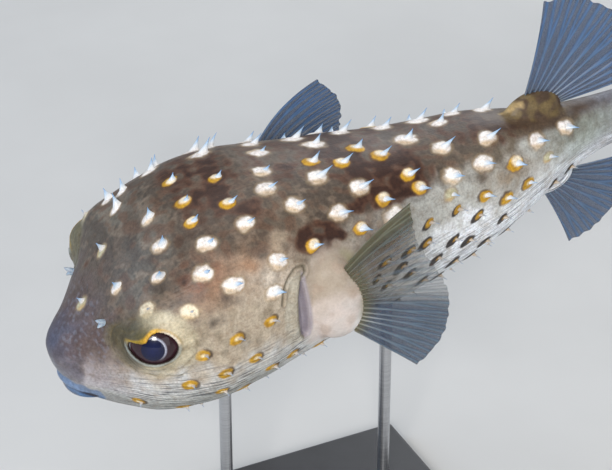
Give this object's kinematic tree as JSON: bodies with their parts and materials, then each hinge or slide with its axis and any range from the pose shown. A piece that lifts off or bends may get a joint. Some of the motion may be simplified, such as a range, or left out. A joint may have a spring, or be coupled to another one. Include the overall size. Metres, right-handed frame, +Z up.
{
  "type": "burrfish display model",
  "caption": "Life-size still yellowspotted burrfish with short thorn-like spines and spread fins, tipped nose down on two rods above a flat display base.",
  "frame": {"origin": "centre of the underside of the stand's base", "axes": "+Z up, the fish's head towards -X and its left side towards -Y"},
  "size_m": [0.3194, 0.1395, 0.2337],
  "materials": {
    "skin_head": "painted warm brown skin with white and yellow spine spots, satin",
    "skin_trunk": "painted brown back paling to a cream belly, spots round each spine, satin",
    "skin_tail": "painted pale grey-cream skin, satin",
    "eye": "polished, dark blue pupil in a purple-brown iris",
    "fin": "thin blue-grey membrane with paler rays",
    "stand": "satin black",
    "rod": "brushed"
  },
  "bodies": {
    "root": {"head": "skin_head", "trunk": "skin_trunk", "tail_stem": "skin_tail", "eye_left": "eye", "eye_right": "eye", "pectoral_fin_left": "fin", "pectoral_fin_right": "fin", "dorsal_fin": "fin", "anal_fin": "fin", "caudal_fin": "fin", "stand_base": "stand", "stand_rod_front": "rod", "stand_rod_rear": "rod"}
  },
  "joints": []
}
